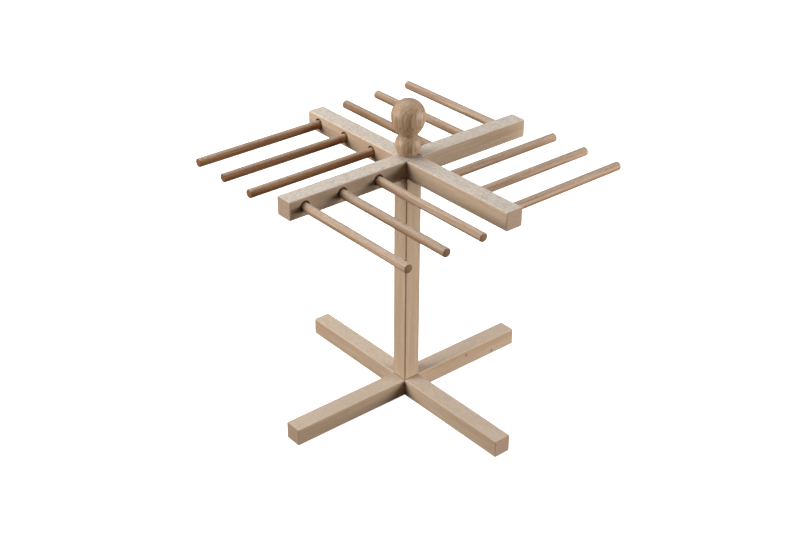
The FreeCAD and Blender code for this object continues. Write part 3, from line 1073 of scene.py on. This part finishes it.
@dataclass
class Studio:
    """A pale floor and surround, large softboxes beside and above the rack, and the camera."""

    camera_place: tuple[float, float, float] = (1.2101, -1.0322, 1.1114)
    azimuth: float = math.radians(49.878)
    elevation: float = math.radians(29.803)
    roll: float = math.radians(0.399)
    lens: float = 60.64
    sensor: float = 36.0
    floor_size: float = 60.0
    floor_gap: float = 0.0002
    surround_share: float = 0.48
    surround_segments: int = 32
    surround_rings: int = 16
    pale: Colour = (0.9, 0.9, 0.9, 1.0)
    pale_rough: float = 0.9
    glow_colour: Colour = (1.0, 1.0, 1.0, 1.0)
    glow: float = 1.0
    room_colour: Colour = (1.0, 0.86, 0.72, 1.0)
    room_light: float = 0.050

    def build(self) -> list[str]:
        """Set up floor, surround, lights and camera.

        Returns:
            Their names.
        """
        bpy.context.scene.view_settings.view_transform = "Standard"
        names = [self.lay_floor(), self.hang_surround(), self.light_world()]
        names += [self.hang_softbox(softbox) for softbox in SOFTBOXES]
        names.append(self.set_camera())
        return names

    def lay_floor(self) -> str:
        """Lay the pale floor just under the rack.

        Returns:
            Its name.
        """
        start_clean()
        place = (0.0, 0.0, CAD_BOX[0].z - self.floor_gap)
        bpy.ops.mesh.primitive_plane_add(size=self.floor_size, location=place)
        return self.make_pale("pale_floor")

    def hang_surround(self) -> str:
        """Hang a pale surround behind everything, so that a low view has no dark horizon.

        Returns:
            Its name.
        """
        start_clean()
        bpy.ops.mesh.primitive_uv_sphere_add(
            segments=self.surround_segments,
            ring_count=self.surround_rings,
            radius=self.surround_share * self.floor_size,
        )
        return self.make_pale("pale_surround")

    def make_pale(self, name: str) -> str:
        """Name the primitive just added and make it glow evenly, seen by the camera but lighting nothing.

        Args:
            name: its name.

        Returns:
            Its name.
        """
        piece = bpy.context.active_object
        piece.name = name
        bench = ShaderBench(name)
        bench.set_shader(
            Base_Color=self.pale,
            Roughness=self.pale_rough,
            Emission_Color=self.glow_colour,
            Emission_Strength=self.glow,
        )
        bench.put_on(piece)
        piece.visible_diffuse = False
        piece.visible_glossy = False
        piece.visible_shadow = False
        return piece.name

    def light_world(self) -> str:
        """Fill the room with a dim warm light.

        Returns:
            The world's name.
        """
        world = bpy.data.worlds.new("studio")
        world.use_nodes = True
        background = world.node_tree.nodes["Background"]
        background.inputs["Color"].default_value = self.room_colour
        background.inputs["Strength"].default_value = self.room_light
        bpy.context.scene.world = world
        return world.name

    def hang_softbox(self, softbox: Softbox) -> str:
        """Hang a softbox that faces the rack.

        Args:
            softbox: the softbox.

        Returns:
            Its name.
        """
        sideways = Vector((math.cos(self.azimuth), math.sin(self.azimuth), 0.0))
        behind = Vector((-math.sin(self.azimuth), math.cos(self.azimuth), 0.0))
        up = Vector((0.0, 0.0, 1.0))
        place = softbox.sideways * sideways + softbox.up * up + softbox.behind * behind
        light = bpy.data.lights.new(softbox.name, "AREA")
        light.shape = "SQUARE"
        light.size = softbox.size
        light.energy = softbox.power
        box = bpy.data.objects.new(softbox.name, light)
        bpy.context.scene.collection.objects.link(box)
        target = 0.5 * (CAD_BOX[0] + CAD_BOX[1])
        box.location = place
        box.rotation_euler = (target - place).to_track_quat("-Z", "Y").to_euler()
        return box.name

    def set_camera(self) -> str:
        """Set the camera, level but for a slight roll.

        Returns:
            Its name.
        """
        data = bpy.data.cameras.new("camera")
        data.lens = self.lens
        data.sensor_width = self.sensor
        camera = bpy.data.objects.new("camera", data)
        bpy.context.scene.collection.objects.link(camera)
        flat = math.cos(self.elevation)
        back = Vector((
            math.sin(self.azimuth) * flat, -math.cos(self.azimuth) * flat, math.sin(self.elevation)
        ))
        right = Vector((math.cos(self.azimuth), math.sin(self.azimuth), 0.0))
        turn = Matrix((right, back.cross(right), back)).transposed().to_4x4()
        camera.matrix_world = (
            Matrix.Translation(self.camera_place) @ turn @ Matrix.Rotation(self.roll, 4, "Z")
        )
        bpy.context.scene.camera = camera
        return camera.name


def main() -> None:
    """Build the rack piece by piece, then the studio round it."""
    logging.basicConfig(level=logging.INFO, format="%(name)s: %(message)s")
    for assembly in (Stock(), Dowels(), KnobAndStud(), Studio()):
        for name in assembly.build():
            mesh = bpy.data.meshes.get(name)
            LOG.info("%s: %s, %d faces", type(assembly).__name__, name, len(mesh.polygons) if mesh else 0)


if __name__ == "__main__":
    main()
